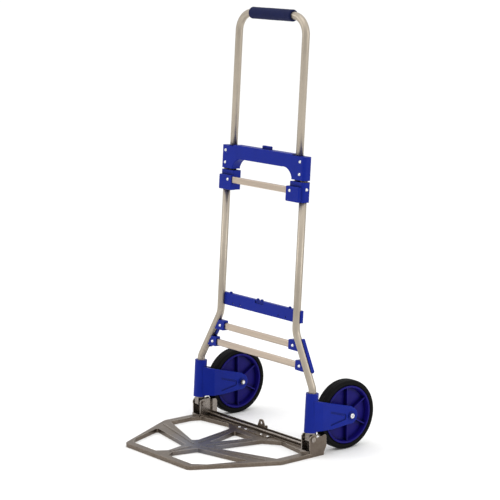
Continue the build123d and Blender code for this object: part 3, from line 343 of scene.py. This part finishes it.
grip_half = 0.080
grip_r = 0.015
grip_bore_r = 0.00955
grip_edge = 0.003
grip = sleeve(grip_half, grip_r, grip_bore_r, grip_edge, foam("navy_closed_cell_foam", "#121A46", "#0D1336"))
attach(grip, "handle")
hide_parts("handle_grip")


# ---------------------------------------------------------------- tyres
# Solid black rubber, moulded on to the rims: a crowned tread with three rain grooves, round shoulders and a
# moulded line round each side wall. The skin is matt and slightly dusty.
def rubber(name, colour, dust):
    """Moulded rubber: fine spark grain, and a paler bloom in patches about 20 mm across."""
    material, out = new_material(name)
    place = put(material, "TexCoord").outputs["Object"]
    patch = put(material, "TexNoise", {"Vector": place, "Scale": 50.0, "Detail": 5.0})
    grit = put(material, "TexNoise", {"Vector": place, "Scale": 1500.0, "Detail": 2.0})
    tone = put(material, "Mix", {0: patch.outputs[0], 6: linear(colour), 7: linear(dust)},
               data_type="RGBA")
    bump = put(material, "Bump", {"Height": grit.outputs[0], "Strength": 0.3, "Distance": 0.0002})
    skin = put(material, "BsdfPrincipled", {
        "Base Color": tone.outputs[2], "Roughness": 0.55, "Specular IOR Level": 0.08,
        "Normal": bump.outputs[0]})
    material.node_tree.links.new(skin.outputs[0], out.inputs[0])
    return material


def tyre(name, x_middle, material):
    """A ring about the axle; its section is a squared oval, |x / a|^4 + |h / b|^4 = 1, with grooves cut in.

    It is walked as x = a sign(cos t) |cos t|^p and h = b sign(sin t) |sin t|^p, with p = 1/2. Grooves lower
    the radius by depth exp(-((x - c) / width)^2) on the tread. The side wall line does the same to x, as a
    share of it, at one radius.
    """
    half = 0.0150
    low = 0.0736
    high = 0.08795
    power = 0.5
    axle_y = hinge_y + 0.118
    axle_z = 0.088
    groove_places = (-0.0068, 0.0, 0.0068)
    groove_depth = 0.0011
    groove_width = 0.0007
    line_r = 0.0775
    line_share = 0.035
    line_width = 0.0006
    t = np.linspace(0, 2 * np.pi, 241)[:-1]
    x = half * np.sign(np.cos(t)) * np.abs(np.cos(t)) ** power
    h = np.sign(np.sin(t)) * np.abs(np.sin(t)) ** power
    radius = (high + low) / 2 + (high - low) / 2 * h
    for centre in groove_places:
        radius = radius - np.where(h > 0, groove_depth * np.exp(-((x - centre) / groove_width) ** 2), 0)
    x = x * (1 - line_share * np.exp(-((radius - line_r) / line_width) ** 2))
    a = np.linspace(0, 2 * np.pi, 181)[:-1]
    grid = np.stack([
        np.broadcast_to(x_middle + x[None, :], (len(a), len(t))),
        axle_y + radius[None, :] * np.sin(a)[:, None],
        axle_z - radius[None, :] * np.cos(a)[:, None]], axis=-1)
    return surface(name, grid, material, wrap_rows=True)


tyre_rubber = rubber("moulded_black_rubber", "#040405", "#0A0A0B")
wheel_x = 0.219
for side, word in ((1, "right"), (-1, "left")):
    piece = tyre(f"solid_tyre_{word}", side * wheel_x, tyre_rubber)
    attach(piece, f"wheel_{word}")
    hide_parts(f"tyre_{word}")


# ---------------------------------------------------------------- button spring
# Hard-drawn steel wire, 1 mm, coiled six times. It stands on the floor of the latch housing under the release
# button. On the truck it flattens as the button is pressed; here it is built at one fixed length.
def coil(name, foot, height, r_coil, r_wire, turns, material):
    """Wire along the helix (R cos a, foot + height a / (2 pi turns), R sin a), as circles across it.

    The circle's axes are the outward direction and the one across both it and the helix's tangent.
    """
    a = np.linspace(0, 2 * np.pi * turns, 40 * turns + 1)[:, None]
    pitch = height / (2 * np.pi * turns)
    outward = np.concatenate([np.cos(a), 0 * a, np.sin(a)], axis=1)
    tangent = np.concatenate([-r_coil * np.sin(a), pitch + 0 * a, r_coil * np.cos(a)], axis=1)
    tangent /= np.linalg.norm(tangent, axis=1, keepdims=True)
    across = np.cross(tangent, outward)
    line = r_coil * outward + np.concatenate([0 * a, foot + pitch * a, 0 * a], axis=1)
    t = np.linspace(0, 2 * np.pi, 11)[:-1][None, :, None]
    wire = line[:, None] + r_wire * (np.cos(t) * outward[:, None] + np.sin(t) * across[:, None])
    ends = np.broadcast_to(line[[0, -1], None], (2,) + wire.shape[1:])
    grid = np.concatenate([ends[:1], wire, ends[1:]])
    made = surface(name, on_frame(grid.reshape(-1, 3)).reshape(grid.shape), material)
    close = made.modifiers.new("closed_ends", "WELD")
    close.merge_threshold = 1e-6
    return made


def spring_wire(name, colour, shade):
    """Patented steel wire: drawn smooth, with oil-dark blotches about 4 mm long."""
    material, out = new_material(name)
    place = put(material, "TexCoord").outputs["Object"]
    blotch = put(material, "TexNoise", {"Vector": place, "Scale": 250.0, "Detail": 3.0})
    tone = put(material, "Mix", {0: blotch.outputs[0], 6: linear(shade), 7: linear(colour)},
               data_type="RGBA")
    metal = put(material, "BsdfPrincipled", {"Base Color": tone.outputs[2], "Metallic": 1.0,
                                             "Roughness": 0.3})
    material.node_tree.links.new(metal.outputs[0], out.inputs[0])
    return material


wire_metal = spring_wire("drawn_spring_steel", "#8C8A86", "#5A5753")
housing_floor = up(0.704) + 0.0033
wire_r = 0.0005
coil_r = 0.0033
coil_height = 0.01914
coil_turns = 6
spring_foot = housing_floor + wire_r
spring = coil("button_coil_spring", spring_foot, coil_height, coil_r, wire_r, coil_turns, wire_metal)
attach(spring, "frame")
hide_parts("button_spring")
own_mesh(spring)


# ---------------------------------------------------------------- moulded blue pieces
# Polypropylene injection mouldings: latch housing, guide blocks, crossbar, side brackets and forks in one
# blue, the rims in a blue that leans to violet. Spark grain gives them a soft, waxy gloss.
def moulded(name, colour, shade, roughness):
    """Injection moulding: grain about 0.7 mm, flow marks about 30 mm across, and painted shade that darkens
    the corners.
    """
    material, out = new_material(name)
    place = put(material, "TexCoord").outputs["Object"]
    grit = put(material, "TexNoise", {"Vector": place, "Scale": 1400.0, "Detail": 2.0})
    flow = put(material, "TexNoise", {"Vector": place, "Scale": 33.0, "Detail": 3.0})
    # Painted shade: ambient occlusion finds corners and recesses, and there the colour is darkened towards a
    # near-black blue, #03062A.
    corner = put(material, "AmbientOcclusion", {"Distance": 0.012}, samples=8)
    tone = put(material, "Mix", {0: flow.outputs[0], 6: linear(shade), 7: linear(colour)},
               data_type="RGBA")
    painted_corner_shade = put(material, "MapRange", {0: corner.outputs["AO"], 1: 0.3, 2: 0.95})
    edge = put(material, "Mix", {0: painted_corner_shade.outputs[0], 6: linear("#03062A"), 7: tone.outputs[2]},
               data_type="RGBA")
    rough = put(material, "MapRange", {0: flow.outputs[0], 3: roughness - 0.05, 4: roughness + 0.06})
    bump = put(material, "Bump", {"Height": grit.outputs[0], "Strength": 0.25, "Distance": 0.0002})
    skin = put(material, "BsdfPrincipled", {
        "Base Color": edge.outputs[2], "Roughness": rough.outputs[0], "IOR": 1.49,
        "Specular IOR Level": 0.12, "Normal": bump.outputs[0]})
    material.node_tree.links.new(skin.outputs[0], out.inputs[0])
    return material


blue = moulded("moulded_blue_polypropylene", "#0A2188", "#081C7A", 0.40)
violet = moulded("moulded_rim_polypropylene", "#150D6C", "#110A60", 0.38)


# ---------------------------------------------------------------- flat bars, rungs and toe plate
# The bars are extruded flats with die lines along them, anodised like the tubes. The toe plate is pressed,
# tumbled and left bare: a grey-brown, speckled skin, with a painted highlight along its raised edges.
def extruded(name, pale, dark, roughness):
    """Extruded flat bar: die lines along X, about 0.8 mm apart, with painted shade that makes their grooves
    darker.
    """
    material, out = new_material(name)
    place = put(material, "TexCoord").outputs["Object"]
    drawn = put(material, "Mapping", {"Vector": place, "Scale": (5, 300, 1200)})
    lines = put(material, "TexNoise", {"Vector": drawn.outputs[0], "Scale": 1.0, "Detail": 3.0})
    # Painted shade: the tone follows the die-line height, darker down in the grooves.
    tone = put(material, "Mix", {0: lines.outputs[0], 6: linear(dark), 7: linear(pale)}, data_type="RGBA")
    bump = put(material, "Bump", {"Height": lines.outputs[0], "Strength": 0.35, "Distance": 0.0003})
    metal = put(material, "BsdfPrincipled", {
        "Base Color": tone.outputs[2], "Metallic": 1.0, "Roughness": roughness,
        "Normal": bump.outputs[0]})
    material.node_tree.links.new(metal.outputs[0], out.inputs[0])
    return material


def tumbled(name, pale, dark, bright, centre_tint):
    """Pressed plate after tumbling: specks about 1.5 mm, stains about 25 mm, and a painted highlight along
    the edges.

    Round the meeting point of the struts, within about 130 mm, the colour is tinted towards a bluish grey.
    """
    material, out = new_material(name)
    place = put(material, "TexCoord").outputs["Object"]
    speck = put(material, "TexNoise", {"Vector": place, "Scale": 700.0, "Detail": 3.0, "Roughness": 0.7})
    stain = put(material, "TexNoise", {"Vector": place, "Scale": 40.0, "Detail": 4.0})
    tone = put(material, "Mix", {0: stain.outputs[0], 6: linear(dark), 7: linear(pale)}, data_type="RGBA")
    dots = put(material, "MapRange", {0: speck.outputs[0], 1: 0.42, 2: 0.60})
    spots = put(material, "Mix", {0: dots.outputs[0], 6: linear(dark), 7: tone.outputs[2]},
                data_type="RGBA")
    struts_meet = (0.0, hinge_y - 0.150, 0.011)
    tint_outer_reach = 0.13
    tint_inner_reach = 0.03
    away = put(material, "VectorMath", {0: place, 1: struts_meet}, operation="DISTANCE")
    near = put(material, "MapRange", {0: away.outputs["Value"], 1: tint_outer_reach, 2: tint_inner_reach, 3: 0.0, 4: 0.75})
    mixed = put(material, "Mix", {0: near.outputs[0], 6: spots.outputs[2], 7: linear(centre_tint)},
                data_type="RGBA")
    # Painted highlight: along the edges, where the bevel-rounded normal turns away from the flat one, the
    # colour is lifted to the pale bright tone.
    round_off = put(material, "Bevel", {"Radius": 0.0012}, samples=4)
    flat = put(material, "NewGeometry").outputs["Normal"]
    same = put(material, "VectorMath", {0: round_off.outputs[0], 1: flat}, operation="DOT_PRODUCT")
    painted_edge_highlight = put(material, "MapRange", {0: same.outputs["Value"], 1: 0.995, 2: 0.93, 3: 0.0, 4: 0.9})
    tone_with_painted_highlight = put(material, "Mix", {0: painted_edge_highlight.outputs[0], 6: mixed.outputs[2], 7: linear(bright)},
                data_type="RGBA")
    rough = put(material, "MapRange", {0: speck.outputs[0], 3: 0.30, 4: 0.48})
    bump = put(material, "Bump", {"Height": speck.outputs[0], "Strength": 0.35, "Distance": 0.0003})
    metal = put(material, "BsdfPrincipled", {
        "Base Color": tone_with_painted_highlight.outputs[2], "Metallic": 1.0, "Roughness": rough.outputs[0],
        "Normal": bump.outputs[0]})
    material.node_tree.links.new(metal.outputs[0], out.inputs[0])
    return material


bar = extruded("anodised_extruded_bar", "#D2C2AF", "#A3958A", 0.36)
# The fourth colour, #D2C9BE, is the painted edge highlight.
plate = tumbled("tumbled_aluminium_plate", "#9A8D80", "#5E544B", "#D2C9BE", "#6F727E")


# ---------------------------------------------------------------- steel fittings, rivets and hidden nylon
# Hinge brackets, pins, bolts and hooks are steel with a thin zinc coat that has gone a little brown.
# Rivets are bright aluminium, and the plugs in the handle's ends are black nylon.
def plated(name, pale, dark, roughness):
    """Zinc plate: spangle about 3 mm across, with slight tarnish."""
    material, out = new_material(name)
    place = put(material, "TexCoord").outputs["Object"]
    spangle = put(material, "TexVoronoi", {"Vector": place, "Scale": 330.0})
    tarnish = put(material, "TexNoise", {"Vector": place, "Scale": 90.0, "Detail": 4.0})
    tone = put(material, "Mix", {0: tarnish.outputs[0], 6: linear(dark), 7: linear(pale)},
               data_type="RGBA")
    rough = put(material, "MapRange", {0: spangle.outputs[0], 3: roughness - 0.06, 4: roughness + 0.08})
    metal = put(material, "BsdfPrincipled", {
        "Base Color": tone.outputs[2], "Metallic": 1.0, "Roughness": rough.outputs[0]})
    material.node_tree.links.new(metal.outputs[0], out.inputs[0])
    return material


zinc = plated("zinc_plated_steel", "#A8A099", "#6F675F", 0.27)
bright = plated("bright_rivet_aluminium", "#F0F0F0", "#D2D2D2", 0.22)
nylon = moulded("black_nylon", "#141416", "#0E0E10", 0.5)

finishes = {
    "bar_aluminium": bar, "toe_aluminium": plate, "blue_plastic": blue, "rim_plastic": violet,
    "zinc_steel": zinc, "rivet_metal": bright, "black_plastic": nylon, "spring_steel": wire_metal,
    "tube_aluminium": tube_metal, "black_rubber": tyre_rubber, "grip_foam": grip.data.materials[0],
}
slots = {part["node"]: part["material_slot"] for part in frame["record"]["subparts"]}
polished = ("axle_bolt_right", "axle_bolt_left", "crossbar_screws")
for name, piece in frame["nodes"].items():
    piece.data.materials.clear()
    piece.data.materials.append(bright if name in polished else finishes[slots[name]])
